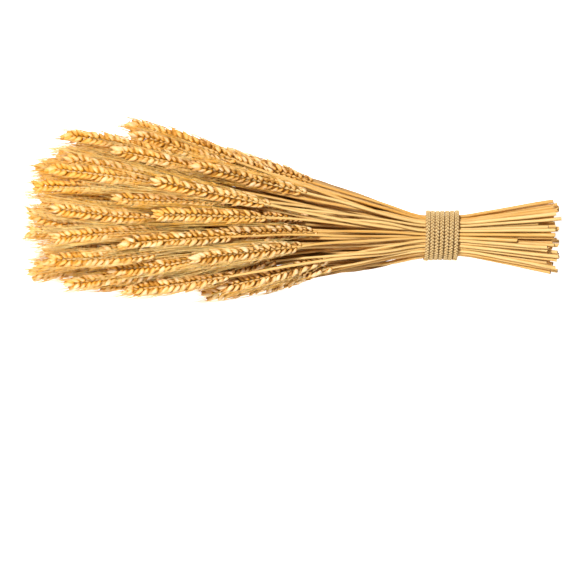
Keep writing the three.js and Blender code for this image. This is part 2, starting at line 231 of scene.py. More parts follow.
# the straw's radius by the share of the stem's length from the cut end
STRAW_RADII = ((0, 0.00162), (0.07, 0.00155), (0.13, 0.00142), (0.2, 0.00136), (0.3, 0.00132), (1, 0.00106))
STRAW_THICKNESSES = (0.88, 1.1)
RACHIS_RADIUS = 0.0015
RACHIS_TAPER = 0.5
CUT_SLANT = 0.0007
# how freely the straw sways from its course by the same share: the tie holds it straight
STRAW_SWAY = 0.0005
SWAYS = ((0, 1), (0.08, 0.4), (0.14, 0), (0.24, 0), (0.3, 0.4), (0.9, 1), (1, 0))
SWAY_WAVES = (8, 16)
# how far out across a straw, against its radius, the painted shade on its sides begins
FLANK_SHADE_FROM = 0.5
# stems inside the bundle that are bent aside and close the gaps between the others, by their number
BOW_START = 0.27
BOW_STEP = 0.0005
BOWS = {
    12: 1, 13: -2, 19: -1, 23: -1, 28: 8, 34: -8, 38: -2, 44: -2, 46: -1, 48: -1,
    57: 8, 58: -7, 61: 7, 62: -1, 67: -1, 69: 8, 72: 1, 76: -8, 79: 12, 87: -6,
}


class Shape:
    """The triangles of a modelled piece, their UV map, and three numbers for each point that colour it."""

    def __init__(self, points, triangles, uv, looks):
        self.points = points
        self.triangles = triangles
        self.uv = uv
        self.looks = looks

    @classmethod
    def of(cls, piece):
        """The shape of a modelled object, which is then removed."""
        mesh = piece.data
        mesh.calc_loop_triangles()
        points = np.empty(len(mesh.vertices) * 3)
        mesh.vertices.foreach_get("co", points)
        triangles = np.empty(len(mesh.loop_triangles) * 3, dtype=np.int64)
        mesh.loop_triangles.foreach_get("vertices", triangles)
        loops = np.empty(len(mesh.loop_triangles) * 3, dtype=np.int64)
        mesh.loop_triangles.foreach_get("loops", loops)
        uv = np.empty(len(mesh.loops) * 2)
        mesh.uv_layers.active.data.foreach_get("uv", uv)
        points = points.reshape(-1, 3)
        bpy.data.objects.remove(piece)
        return cls(points, triangles.reshape(-1, 3), uv.reshape(-1, 2)[loops], np.zeros_like(points))

    def copy(self, points, looks):
        return Shape(points, self.triangles, self.uv.copy(), looks)

    @classmethod
    def joined(cls, shapes):
        counts = np.cumsum([0] + [len(shape.points) for shape in shapes])
        return cls(
            np.vstack([shape.points for shape in shapes]),
            np.vstack([shape.triangles + count for shape, count in zip(shapes, counts)]),
            np.vstack([shape.uv for shape in shapes]),
            np.vstack([shape.looks for shape in shapes]),
        )

    def piece(self, name):
        """A smooth object of this shape, kept inside the bundle's box. Its looks become an attribute."""
        mesh = bpy.data.meshes.new(name)
        mesh.from_pydata(np.clip(self.points, LOWEST, HIGHEST), [], self.triangles.tolist())
        mesh.uv_layers.new(name="Surface").data.foreach_set("uv", self.uv.ravel())
        mesh.attributes.new("looks", "FLOAT_VECTOR", "POINT").data.foreach_set("vector", self.looks.ravel())
        mesh.shade_smooth()
        piece = bpy.data.objects.new(name, mesh)
        bpy.context.collection.objects.link(piece)
        return piece


def start_primitive(add, **sizes):
    """Adds a primitive with its place and size in its mesh, and opens it in edit mode."""
    bpy.ops.object.select_all(action="DESELECT")
    add(**sizes)
    bpy.ops.object.transform_apply(location=True, rotation=True, scale=True)
    bpy.ops.object.mode_set(mode="EDIT")
    return bpy.context.object


def select(piece, kind, test):
    """Selects the vertices, edges or faces of the edited piece that pass the test."""
    bpy.ops.mesh.select_mode(type=kind)
    bpy.ops.mesh.select_all(action="DESELECT")
    edited = bmesh.from_edit_mesh(piece.data)
    for item in {"VERT": edited.verts, "EDGE": edited.edges, "FACE": edited.faces}[kind]:
        item.select_set(test(item))
    edited.select_flush_mode()
    bmesh.update_edit_mesh(piece.data)


def runs_along(axis):
    """A test for the edges that run along most of a piece of unit length."""
    return lambda edge: abs(getattr(edge.verts[0].co - edge.verts[1].co, axis)) > 0.5


straw_wall = STRAW_WALL / STRAW_RADII[0][1]
first_ring = 1 / STRAW_STEPS


def straw_model():
    """One straight straw along z, of unit length and radius, with its hollow cut end at z = 0."""
    straw = start_primitive(
        bpy.ops.mesh.primitive_cylinder_add, vertices=STRAW_SIDES, radius=1, depth=1, location=(0, 0, 0.5)
    )
    select(straw, "FACE", lambda face: face.normal.z < -0.9)
    bpy.ops.mesh.inset(thickness=straw_wall)
    bpy.ops.mesh.extrude_region_move(TRANSFORM_OT_translate={"value": (0, 0, STRAW_HOLLOW)})
    select(straw, "EDGE", runs_along("z"))
    bpy.ops.mesh.subdivide(number_cuts=STRAW_STEPS - 1)
    select(straw, "VERT", lambda vertex: abs(vertex.co.z - first_ring) < 1e-4)
    bpy.ops.transform.translate(value=(0, 0, STRAW_RIM - first_ring))
    bpy.ops.object.mode_set(mode="OBJECT")
    return Shape.of(straw)


straw_shape = straw_model()
straw_along = straw_shape.points[:, 2]
inside_straw = np.hypot(straw_shape.points[:, 0], straw_shape.points[:, 1]) < 1 - straw_wall / 2
# how far out on its side each point of the straw lies, for the painted shade there
straw_flank_shade = np.clip((np.abs(straw_shape.points[:, 0]) - FLANK_SHADE_FROM) / (1 - FLANK_SHADE_FROM), 0, 1)


def spread(reach, count=None):
    """A random number, or several, on either side of 0."""
    return draw.uniform(-reach, reach, count)


def bow_of(number, share):
    """How far a stem is bent aside at a share of its length."""
    bend = np.sin(math.pi * np.clip((share - BOW_START) / (1 - BOW_START), 0, 1)) ** 2
    return BOWS.get(number, 0) * BOW_STEP * bend


def straw_of(course, number, tone):
    """The straw of one stalk, laid along its course."""
    stem = course.foot - course.start
    rachis = (course.tip - course.foot) * STRAW_REACH_IN_EAR
    along = straw_along * (stem + rachis)
    share = along / stem
    radius = np.interp(share, *zip(*STRAW_RADII)) * draw.uniform(*STRAW_THICKNESSES)
    tapering = RACHIS_RADIUS * (1 - RACHIS_TAPER * (along - stem) / rachis)
    radius = np.where(share > 1, tapering, radius)
    slant = spread(CUT_SLANT, 2)
    slanted = straw_shape.points[:, :2] @ slant + np.abs(slant).sum()
    along = along + np.where(straw_along < 2 * STRAW_RIM, slanted, 0)
    sway = np.interp(share, *zip(*SWAYS))
    phase = draw.uniform(0, 2 * math.pi, 2)
    waves = share[:, None] * draw.uniform(*SWAY_WAVES, 2) + phase
    offset = sway[:, None] * np.sin(waves) * STRAW_SWAY
    offset[:, 0] += bow_of(number, share)
    local = np.column_stack([along, straw_shape.points[:, :2] * radius[:, None] + offset])
    points = course.lay(local, course.start, 0)
    # the third look is 1 inside the hollow and rises towards the straw's sides: both carry painted shade
    third = np.where(inside_straw, 1, straw_flank_shade / 2)
    looks = np.stack([np.full(len(points), tone), share, third], axis=1)
    return straw_shape.copy(points, looks)


class Wire:
    """One output of a node. Arithmetic on it adds Math nodes."""

    def __init__(self, finish, socket):
        self.finish = finish
        self.socket = socket

    def math(self, operation, *values):
        inputs = dict(enumerate(values))
        return self.finish.node("ShaderNodeMath", {"operation": operation}, inputs)["Value"]

    def __add__(self, other):
        return self.math("ADD", self, other)

    __radd__ = __add__

    def __mul__(self, other):
        return self.math("MULTIPLY", self, other)

    __rmul__ = __mul__

    def __sub__(self, other):
        return self.math("SUBTRACT", self, other)

    def __rsub__(self, other):
        return self.math("SUBTRACT", other, self)

    def __pow__(self, other):
        return self.math("POWER", self, other)

    def clamped(self):
        return self.math("MINIMUM", self.math("MAXIMUM", self, 0), 1)


class Outputs:
    """A node's outputs by name or number."""

    def __init__(self, finish, node):
        self.finish = finish
        self.node = node

    def __getitem__(self, key):
        return Wire(self.finish, self.node.outputs[key])


class Finish:
    """A material under construction."""

    def __init__(self, name):
        self.material = bpy.data.materials.new(name)
        self.material.use_nodes = True
        self.tree = self.material.node_tree
        self.tree.nodes.clear()

    def node(self, kind, settings, inputs):
        node = self.tree.nodes.new(kind)
        for name, value in settings.items():
            setattr(node, name, value)
        for key, value in inputs.items():
            if isinstance(value, Wire):
                self.tree.links.new(value.socket, node.inputs[key])
            else:
                node.inputs[key].default_value = value
        return Outputs(self, node)

    def mix(self, share, one, other):
        """A colour between two others."""
        inputs = {0: share, 6: one, 7: other}
        return self.node("ShaderNodeMix", {"data_type": "RGBA"}, inputs)[2]

    def between(self, value, low, high):
        """0 below low, 1 above high and even in between."""
        inputs = {"Value": value, "From Min": low, "From Max": high}
        return self.node("ShaderNodeMapRange", {}, inputs)["Result"]

    def looks(self):
        """The piece's three numbers for each point."""
        vector = self.node("ShaderNodeAttribute", {"attribute_name": "looks"}, {})["Vector"]
        parts = self.node("ShaderNodeSeparateXYZ", {}, {0: vector})
        return parts[0], parts[1], parts[2]

    def surface(self):
        """The piece's UV map, across and along."""
        vector = self.node("ShaderNodeUVMap", {"uv_map": "Surface"}, {})["UV"]
        parts = self.node("ShaderNodeSeparateXYZ", {}, {0: vector})
        return parts[0], parts[1]

    def place(self):
        return self.node("ShaderNodeTexCoord", {}, {})["Object"]

    def vector(self, x, y, z):
        return self.node("ShaderNodeCombineXYZ", {}, {0: x, 1: y, 2: z})[0]

    def noise(self, vector, scale, detail):
        """Noise from 0 to 1 around 0.5."""
        inputs = {"Vector": vector, "Scale": scale, "Detail": detail}
        return self.node("ShaderNodeTexNoise", {}, inputs)[0]

    def bump(self, height, distance, strength):
        inputs = {"Height": height, "Distance": distance, "Strength": strength}
        return self.node("ShaderNodeBump", {}, inputs)["Normal"]

    def finished(self, **inputs):
        """Closes the material with a Principled surface."""
        inputs = {name.replace("_", " "): value for name, value in inputs.items()}
        surface = self.node("ShaderNodeBsdfPrincipled", {}, inputs)["BSDF"]
        self.node("ShaderNodeOutputMaterial", {}, {"Surface": surface})
        return self.material


def straw_finish():
    """Shiny golden straw with fine fibres along it, oranger and duller stalks among pale ones, and brown
    stains. The sides of each straw and the inside of its hollow are painted darker, as painted shade.
    """
    pale = (0.83, 0.56, 0.21, 1)
    golden = (0.72, 0.35, 0.052, 1)
    # brown serves both the straw's stains and the painted shade on its sides
    brown = (0.40, 0.17, 0.02, 1)
    hollow = (0.30, 0.14, 0.04, 1)
    finish = Finish("dry_straw")
    tone, _, third = finish.looks()
    flank_shade = (third * 2).clamped() ** 1.5
    inside = finish.between(third, 0.5, 1.0)
    around, along = finish.surface()
    fibres = finish.noise(finish.vector(around * 7, along * 60, tone * 40), 1, 3)
    patches = finish.noise(finish.vector(around * 1.5, along * 14, tone * 90), 1, 2)
    gold = (tone * 0.75 + (fibres - 0.5) * 1.5 + (patches - 0.5) * 1.1).clamped()
    stains = finish.between(finish.noise(finish.place(), 55, 3), 0.62, 0.78) * 0.35
    colour = finish.mix(gold, pale, golden)
    colour = finish.mix(stains, colour, brown)
    # painted shade: the sides of each straw, as seen from above, are darkened brown
    colour = finish.mix(flank_shade * 0.75, colour, brown)
    # painted shade: the inside of the hollow at the cut end is painted dark brown
    colour = finish.mix(inside, colour, hollow)
    return finish.finished(
        Base_Color=colour,
        Roughness=0.42 + fibres * 0.2,
        Specular_IOR_Level=0.35,
        Normal=finish.bump(fibres + patches * 0.4, 0.0003, 0.5),
    )


dry_straw = straw_finish()


def straws_of(place, node):
    """The two straws of a node as one piece, with the UV map in turns around and metres along."""
    shapes = []
    for which, course in enumerate(courses[node]):
        shape = straw_of(course, 2 * place + which, draw.uniform(0, 1))
        length = course.tip - course.start
        shape.uv[:, 1] = straw_along[shape.triangles.ravel()] * length
        shapes.append(shape)
    return Shape.joined(shapes)


for place, node in enumerate(stalk_nodes):
    straws = straws_of(place, node).piece(f"straws_{place + 1:02d}")
    straws.data.materials.append(dry_straw)
    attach(straws, "root")
    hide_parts(node)

# Dry leaves
# Thin straps of dead leaf still cling to the lower stems between the tie and the ears. Each is the
# brittle, veined blade of one leaf, clasped round its stem from below. Together they close the view down
# to the table. Their dull brown is kept darker than the straw's, as painted shade in the gaps between
# the stems.
LEAF_WIDTH = 0.0065
LEAF_THICKNESS = 0.0002
LEAF_STEPS = 24
LEAF_COLUMNS = 4
LEAF_DROP = 0.0017
LEAF_CLASP = 0.0016
LEAF_CRINKLE = 0.0004
CRINKLE_WAVES = (20, 40)
CRINKLE_SLANT = 6
LEAF_TURN = 0.4
TURN_WAVES = (4, 9)
TURN_PHASES = (0, 6)
LEAF_LENGTH = 0.135
LEAF_LENGTHS = (0.8, 1.1)
LEAF_STARTS_X = 0.088
LEAF_START_SPREAD = 0.012
LEAFY_SHARE = 0.5
LEAF_WIDTHS = ((0, 0.25), (0.08, 0.6), (0.2, 0.95), (0.6, 1), (0.85, 0.6), (1, 0.05))


def leaf_model():
    """One flat leaf along z, of unit length and width."""
    leaf = start_primitive(
        bpy.ops.mesh.primitive_cube_add, size=1, location=(0, 0, 0.5), scale=(1, LEAF_THICKNESS, 1)
    )
    select(leaf, "EDGE", runs_along("z"))
    bpy.ops.mesh.subdivide(number_cuts=LEAF_STEPS - 1)
    select(leaf, "EDGE", runs_along("x"))
    bpy.ops.mesh.subdivide(number_cuts=LEAF_COLUMNS - 1)
    bpy.ops.object.mode_set(mode="OBJECT")
    return Shape.of(leaf)


leaf_shape = leaf_model()


def leaf_of(course, number):
    """A leaf that clasps the underside of a stalk's stem and turns slowly as it goes."""
    sideways, through, share = leaf_shape.points.T
    first = course.length_at(LEAF_STARTS_X + spread(LEAF_START_SPREAD))
    along = share * (LEAF_LENGTH * draw.uniform(*LEAF_LENGTHS))
    stem_share = (first + along - course.start) / (course.foot - course.start)
    width_share = np.interp(share, *zip(*LEAF_WIDTHS))
    wide = sideways * LEAF_WIDTH * width_share
    crinkle = np.sin(share * draw.uniform(*CRINKLE_WAVES) + sideways * CRINKLE_SLANT)
    deep = (LEAF_CLASP * (2 * sideways) ** 2 + LEAF_CRINKLE * crinkle) * width_share
    turn = LEAF_TURN * np.sin(share * draw.uniform(*TURN_WAVES) + draw.uniform(*TURN_PHASES))
    across = wide * np.cos(turn) - deep * np.sin(turn) + bow_of(number, stem_share)
    up = wide * np.sin(turn) + deep * np.cos(turn) - LEAF_DROP + through
    points = course.lay(np.column_stack([along, across, up]), first, 0)
    looks = np.column_stack([np.full(len(points), draw.uniform(0, 1)), share, np.ones(len(points))])
    shape = leaf_shape.copy(points, looks)
    shape.uv = np.column_stack([sideways, along])[leaf_shape.triangles.ravel()]
    return shape


def leaf_finish():
    """Papery dead leaf: dull gold with veins along it, and dark where it has weathered. Its whole palette is
    kept darker than the straw's, as painted shade in the gaps between the stems.
    """
    # all three colours are kept darker than the straw's, partly as painted shade in the gaps between the
    # stems
    pale = (0.66, 0.42, 0.15, 1)
    dull = (0.40, 0.20, 0.055, 1)
    dark = (0.16, 0.07, 0.018, 1)
    finish = Finish("dry_leaf")
    tone, _, _ = finish.looks()
    across, along = finish.surface()
    veins = finish.noise(finish.vector(across * 16, along * 12, tone * 60), 1, 3)
    patches = finish.noise(finish.vector(across * 2, along * 55, tone * 80), 1, 3)
    dulled = (tone * 0.4 + (veins - 0.5) * 2.6 + (patches - 0.5) * 1.2 + 0.35).clamped()
    weathered = finish.between(patches + (veins - 0.5) * 0.7, 0.5, 0.72) * 0.8
    colour = finish.mix(dulled, pale, dull)
    colour = finish.mix(weathered, colour, dark)
    return finish.finished(
        Base_Color=colour,
        Roughness=0.6 + veins * 0.2,
        Normal=finish.bump(veins + patches * 0.4, 0.0004, 0.6),
    )


def height_of(number):
    """How high a stalk lies in the middle of the bundle."""
    line = all_courses[number].line
    return line[np.argmin(np.abs(line[:, 0])), 2]


from_below = sorted(range(len(all_courses)), key=height_of)
leafy = from_below[: round(len(from_below) * LEAFY_SHARE)]
leaves = Shape.joined([leaf_of(all_courses[number], number) for number in leafy]).piece("dry_leaves")
leaves.data.materials.append(leaf_finish())
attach(leaves, "root")

# Ears
# An ear carries twenty spikelets in two ranks on its rachis. A spikelet is a fan of five papery, pointed
# husks round its grains, and each husk ends in a long bristle, the awn. All of it grew in one piece with
# the stem.
HUSK_SIDES = 6
HUSK_RINGS = 6
HUSK_LENGTH = 0.0091
HUSK_HALF_WIDTH = 0.00205
HUSK_HALF_DEPTH = 0.0015
# height along the husk, its width there against a round one's, how far its middle bulges outwards
HUSK_FORM = ((0.067, 1.35, 0.1), (0.25, 1.15, 0.3), (0.5, 1.0, 0.35), (0.75, 0.8, 0.15), (0.933, 0.5, -0.2))
LEVEL_REACH = HUSK_LENGTH * 0.02
LEAN_SPREAD = 0.18
RISE_SPREAD = 0.14
HUSK_SIZES = (0.86, 1.14)
SPIKELETS = 20
LAST_SPIKELET_BACK = HUSK_LENGTH * 0.6
SPIKELET_SIZES = (0.95, 1.05)
STATION_SPREAD = 0.0003
STATIONS_BACK = 0.001
HUSK_TONE_SPREAD = 0.25
EAR_KINDS = 5
# each husk's root across and up, its lean out and up, the turn of its back, its length and its start
SPIKELET = (
    (0.0005, 0.0013, 0.72, 0.10, 1.05, 1.0, 0.0),
    (0.0008, 0.0009, 0.62, 0.05, 0.80, 1.0, 0.0045),
    (0.0012, 0.0, 0.50, 0.0, 0.0, 1.05, 0.0025),
    (0.0008, -0.0009, 0.62, -0.05, -0.80, 1.0, 0.0045),
    (0.0005, -0.0013, 0.72, -0.10, -1.05, 1.0, 0.0),
)
# the husks at an ear's very end stand close together, point ahead and are paler: they get less of the
# painted shade at the roots and between the husks
END_SPIKELET = (
    (0.0, 0.0008, 0.0, 0.12, 1.5, 1.0, 0.0),
    (0.0008, 0.0002, 0.24, 0.05, 0.5, 0.95, -0.001),
    (-0.0008, 0.0002, -0.24, 0.05, 2.6, 0.95, -0.0015),
    (0.0, -0.0008, 0.0, -0.12, -1.5, 1.0, 0.0),
)
END_SPIKELET_SIZE = 1.08
END_SPIKELET_BACK = HUSK_LENGTH * 1.12
# the end husks' share of the painted shade between husks; their roots get none of it
PALE_END = 0.4
# the size and the lean of the husks by the share of the ear's length from its foot
EAR_SIZES = ((0, 0.62), (0.12, 0.86), (0.3, 1), (0.86, 1), (1, 0.85))
EAR_LEANS = ((0, 0.8), (0.15, 1), (0.85, 1), (1, 0.6))
EAR_TONE_SPREAD = 0.4
CAVITY_REACH = 0.0016
CAVITY_DEPTH = 0.0016
AWN_SIDES = 3
AWN_RADIUS = 0.0003
AWN_POINT = 0.12
AWN_STEPS = 3
AWN_LENGTH = 0.068
AWN_LENGTHS = (0.6, 1.15)
# near the bundle's edge an awn is only this long, and longer by the room that it has
AWN_SHORTEST = 0.012
LONGER_BY_ROOM = 1.5
ROOM_LENGTHS = (0.6, 1.5)
REACHES_PAST_EAR = (0.2, 1)
FINE_AWNS = 0.16
FINE_AWN_LENGTHS = (0.35, 0.8)
FINE_AWN_THICKNESS = 0.5
# how far an awn points outwards, more so at the ear's tip, how it turns round the ear, bows and lifts
AWN_SLOPES = (0.02, 0.15)
AWN_SLOPE_AT_TIP = 0.2
AWN_TURN_SPREAD = 0.7
AWN_BOWS = (-0.09, 0.02)
AWN_LIFT = 0.009
AWN_LIFTS = (-0.2, 1)
SHARES_OF_ROOM_AHEAD = (0.5, 1)
AWN_TONE_SPREAD = 0.6


def husk_model():
    """One husk along z from its root to its point: a little boat, fullest below its middle."""
    husk = start_primitive(
        bpy.ops.mesh.primitive_uv_sphere_add,
        segments=HUSK_SIDES,
        ring_count=HUSK_RINGS,
        radius=1,
        location=(0, 0, HUSK_LENGTH / 2),
        scale=(HUSK_HALF_WIDTH, HUSK_HALF_DEPTH, HUSK_LENGTH / 2),
    )
    for height, size, bulge in HUSK_FORM:
        level = height * HUSK_LENGTH
        select(husk, "VERT", lambda vertex: abs(vertex.co.z - level) < LEVEL_REACH)
        bpy.ops.transform.resize(value=(size, size, 1))
        bpy.ops.transform.translate(value=(0, bulge * HUSK_HALF_DEPTH, 0))
    bpy.ops.object.mode_set(mode="OBJECT")
    return Shape.of(husk)


husk_shape = husk_model()
husk_along = husk_shape.points[:, 2] / HUSK_LENGTH


def husk_at(station, side, husk, size, lean_share, tone):
    """One husk of a spikelet, in the ear's own along, across and up."""
    root_across, root_up, lean, rise, turn, length, start = husk
    lean = (lean + spread(LEAN_SPREAD)) * lean_share
    rise = rise + spread(RISE_SPREAD)
    ahead = np.array([
        math.cos(lean) * math.cos(rise),
        side * math.sin(lean) * math.cos(rise),
        math.sin(rise),
    ])
    back = np.array([0, side * math.cos(turn), math.sin(turn)])
    back = back - ahead * (back @ ahead)
    back = back / np.linalg.norm(back)
    wide = np.cross(back, ahead)
    scale = size * draw.uniform(*HUSK_SIZES)
    root = np.array([station + start * size, side * root_across, root_up])
    points = root + husk_shape.points * scale * (1, 1, length) @ np.stack([wide, back, ahead])
    looks = np.stack([np.full(len(points), tone), husk_along, np.zeros(len(points))], axis=1)
    return husk_shape.copy(points, looks)


def cavities(points):
    """How deep each point of an ear lies between the husks around it, from 0 to 1."""
    from_axis = np.hypot(points[:, 1], points[:, 2])
    depths = []
    for point, own in zip(points, from_axis):
        near = np.abs(points - point).max(axis=1) < CAVITY_REACH
        depths.append(from_axis[near].max() - own)
    return np.clip(np.array(depths) / CAVITY_DEPTH, 0, 1)


def ear_model(length):
    """One ear along its course: husks in two ranks, and where its awns start."""
    husks = []
    awn_starts = []
    point = np.argmax(husk_along)
    pitch = (length - LAST_SPIKELET_BACK) / SPIKELETS
    for index in range(SPIKELETS):
        along = index / (SPIKELETS - 1)
        size = np.interp(along, *zip(*EAR_SIZES)) * draw.uniform(*SPIKELET_SIZES)
        lean_share = np.interp(along, *zip(*EAR_LEANS))
        side = 1 if index % 2 else -1
        station = index * pitch + spread(STATION_SPREAD) - STATIONS_BACK
        tone = draw.uniform(0, 1)
        for husk in SPIKELET:
            placed = husk_at(station, side, husk, size, lean_share, tone + spread(HUSK_TONE_SPREAD))
            husks.append(placed)
            awn_starts.append((placed.points[point], side, husk[4]))
    for husk in END_SPIKELET:
        tone = draw.uniform(0, 1)
        placed = husk_at(length - END_SPIKELET_BACK, 1, husk, END_SPIKELET_SIZE, 1, tone)
        # the end husks' roots get none of the painted shade at husk roots
        placed.looks[:, 1] = np.maximum(husk_along, PALE_END)
        husks.append(placed)
        awn_starts.append((placed.points[point], 1, husk[4]))
    ear = Shape.joined(husks)
    # how deep each point lies between the husks, which the husk finish paints as shade; the end husks keep
    # less of it
    ear.looks[:, 2] = cavities(ear.points) / 2
    ear.looks[-len(END_SPIKELET) * len(husk_along):, 2] *= PALE_END
    return ear, awn_starts


ear_length = float(np.mean([course.tip - course.foot for course in all_courses]))
ear_models = [ear_model(ear_length) for kind in range(EAR_KINDS)]


def awn_model():
    """One awn along z, of unit length: a bristle with three sides that thins to its point."""
    awn = start_primitive(
        bpy.ops.mesh.primitive_cone_add,
        vertices=AWN_SIDES,
        radius1=AWN_RADIUS,
        radius2=AWN_RADIUS * AWN_POINT,
        depth=1,
        location=(0, 0, 0.5),
    )
    select(awn, "EDGE", runs_along("z"))
    bpy.ops.mesh.subdivide(number_cuts=AWN_STEPS - 1)
    bpy.ops.object.mode_set(mode="OBJECT")
    return Shape.of(awn)


awn_shape = awn_model()
awn_along = awn_shape.points[:, 2]
awn_root = np.argsort(awn_along)[:AWN_SIDES]
awn_tip = np.argsort(awn_along)[-AWN_SIDES:]


def room_at_tip(course):
    """How far the ear's tip lies inside the bundle, seen from above."""
    x, y, z = along_course(course.lengths, course.line, [course.tip])[0]
    beside = [
        np.interp(-x, -other.line[:, 0], other.line[:, 1])
        for other in all_courses
        if other.lengths[np.argmin(np.abs(other.line[:, 0] - x))] <= other.tip + COURSE_STEP
    ]
    room = min(y - min(beside), max(beside) - y, x - cad_box[0][0] - AWN_SHORTEST)
    return max(room, 0)


def awn_size(start, ear_end, room):
    """How long an awn is, and how thick against a full one."""
    freely = AWN_LENGTH * draw.uniform(*AWN_LENGTHS)
    by_room = (AWN_SHORTEST + LONGER_BY_ROOM * room) * draw.uniform(*ROOM_LENGTHS)
    past_ear = (AWN_SHORTEST + room) * draw.uniform(*REACHES_PAST_EAR)
    length = min(freely, by_room, ear_end - start + past_ear)
    if draw.uniform() < FINE_AWNS:
        return AWN_LENGTH * draw.uniform(*FINE_AWN_LENGTHS), FINE_AWN_THICKNESS
    return length, 1


def kept_in_box(points):
    """An awn shortened to stay behind the box's front, and bent to stay between its sides."""
    root = points[awn_root].mean(axis=0)
    reach = points[awn_tip].mean(axis=0) - root
    share = 1
    if reach[0] < 0:
        share = min(1, (root[0] - LOWEST[0]) / -reach[0] * draw.uniform(*SHARES_OF_ROOM_AHEAD))
    points = root + (points - root) * share
    reach = reach * share
    for axis in (1, 2):
        goal = min(max(root[axis] + reach[axis], LOWEST[axis]), HIGHEST[axis])
        if abs(reach[axis]) > 1e-6 and goal != root[axis] + reach[axis]:
            bent = max((goal - root[axis]) / reach[axis], 0)
            points[:, axis] = root[axis] + (points[:, axis] - root[axis]) * bent
    return points


def awns_of(course, roll, starts, tone):
    """The awns of one ear, laid along its course."""
    shapes = []
    ear_end = course.tip - course.foot
    room = room_at_tip(course)
    for start, side, fan in starts:
        length, thick = awn_size(start[0], ear_end, room)
        slope = draw.uniform(*AWN_SLOPES)
        slope = slope + AWN_SLOPE_AT_TIP * (start[0] / ear_end) ** 2 * draw.uniform(0, 1)
        turn = fan + spread(AWN_TURN_SPREAD)
        outwards = (slope * awn_along + draw.uniform(*AWN_BOWS) * awn_along**2) * length
        along = start[0] + awn_along * length
        across = start[1] + side * outwards * math.cos(turn) + awn_shape.points[:, 0] * thick
        up = start[2] + outwards * math.sin(turn) + awn_shape.points[:, 1] * thick
        points = course.lay(np.column_stack([along, across, up]), course.foot, roll)
        points[:, 2] += draw.uniform(*AWN_LIFTS) * AWN_LIFT * awn_along**2
        points = kept_in_box(points)
        shade = tone + spread(AWN_TONE_SPREAD)
        looks = np.column_stack([np.full(len(points), shade), awn_along, np.ones(len(points))])
        shapes.append(awn_shape.copy(points, looks))
    return shapes


def husk_finish():
    """Papery husks and awns: pale gold, oranger towards the bundle's tips. The husks' roots and the crevices
    between them are painted orange and dark brown, as painted shade.
    """
    pale = (0.94, 0.75, 0.46, 1)
    golden = (0.90, 0.50, 0.105, 1)
    # orange is partly real tint at the husks' points and partly painted shade at their roots and between
    # them; the dark brown below is painted shade deep between the husks
    orange = (0.86, 0.37, 0.017, 1)
    dark = (0.20, 0.065, 0.004, 1)
    pale_awn = (0.98, 0.74, 0.28, 1)
    golden_awn = (0.96, 0.48, 0.045, 1)
    shaded_awn = (0.60, 0.24, 0.012, 1)
    bleached_tip = (1.0, 0.85, 0.42, 1)
    finish = Finish("dry_husk")
    tone, along, third = finish.looks()
    cavity = (third * 2).clamped()
    awn = finish.between(third, 0.6, 0.9)
    across, up_husk = finish.surface()
    place = finish.place()
    parts = finish.node("ShaderNodeSeparateXYZ", {}, {0: place})
    towards_tips = 1 - finish.between(parts[0], -0.20, 0.0)
    streaks = finish.noise(finish.vector(parts[0] * 14, parts[1] * 520, parts[2] * 520), 1, 2)
    veins = finish.noise(finish.vector(across * 22, up_husk * 2.5, tone * 30), 1, 2)
    patches = finish.noise(place, 90, 3)
    gold = (tone * 0.5 + (patches - 0.5) * 1.6 + (veins - 0.5) * 0.8 + towards_tips * 0.5).clamped()
    # painted shade at each husk's root, where the next husk covers it
    root = 1 - finish.between(along, 0.0, 0.4)
    point = finish.between(along, 0.7, 1.0)
    # painted shade deep in the crevices between husks, weaker towards the bundle's tips
    deep = finish.between(cavity, 0.36, 0.78) * (0.97 - towards_tips * 0.6)
    colour = finish.mix(gold, pale, golden)
    # painted shade in orange at the roots and crevices, with a little real orange towards each husk's point
    colour = finish.mix((root * 0.5 + point * 0.1 + cavity * 1.3).clamped(), colour, orange)
    colour = finish.mix(deep, colour, dark)
    gold_awn = (tone * 0.8 + (patches - 0.5) * 2.0 + towards_tips * 0.2).clamped()
    shaded = finish.between(streaks, 0.5, 0.66) * (0.75 - towards_tips * 0.5)
    bleached = finish.between(along, 0.6, 1.0) * towards_tips * 0.8
    bristle = finish.mix(gold_awn, pale_awn, golden_awn)
    bristle = finish.mix(shaded, bristle, shaded_awn)
    bristle = finish.mix(bleached, bristle, bleached_tip)
    colour = finish.mix(awn, colour, bristle)
    return finish.finished(
        Base_Color=colour,
        Roughness=0.5 + veins * 0.2,
        Specular_IOR_Level=0.35,
        Normal=finish.bump(veins + patches * 0.5, 0.0003, 0.4),
    )


dry_husk = husk_finish()


def ear_of(course, number):
    """One stalk's ear and awns, from one of the modelled ears."""
    model, starts = ear_models[number % EAR_KINDS]
    tone = spread(EAR_TONE_SPREAD)
    stretch = np.array([(course.tip - course.foot) / ear_length, 1, 1])
    roll = course.roll + (math.pi if number % 2 else 0)
    points = course.lay(model.points * stretch, course.foot, roll)
    looks = model.looks + np.array([tone, 0, 0])
    placed_starts = [(start * stretch, side, fan) for start, side, fan in starts]
    return [model.copy(points, looks), *awns_of(course, roll, placed_starts, 0.5 + tone)]


for number, node in enumerate(stalk_nodes, 1):
    shapes = []
    for which, course in enumerate(courses[node]):
        shapes += ear_of(course, 2 * number + which)
    ears = Shape.joined(shapes).piece(f"ears_{number:02d}")
    ears.data.materials.append(dry_husk)
    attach(ears, "root")
    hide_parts(node)

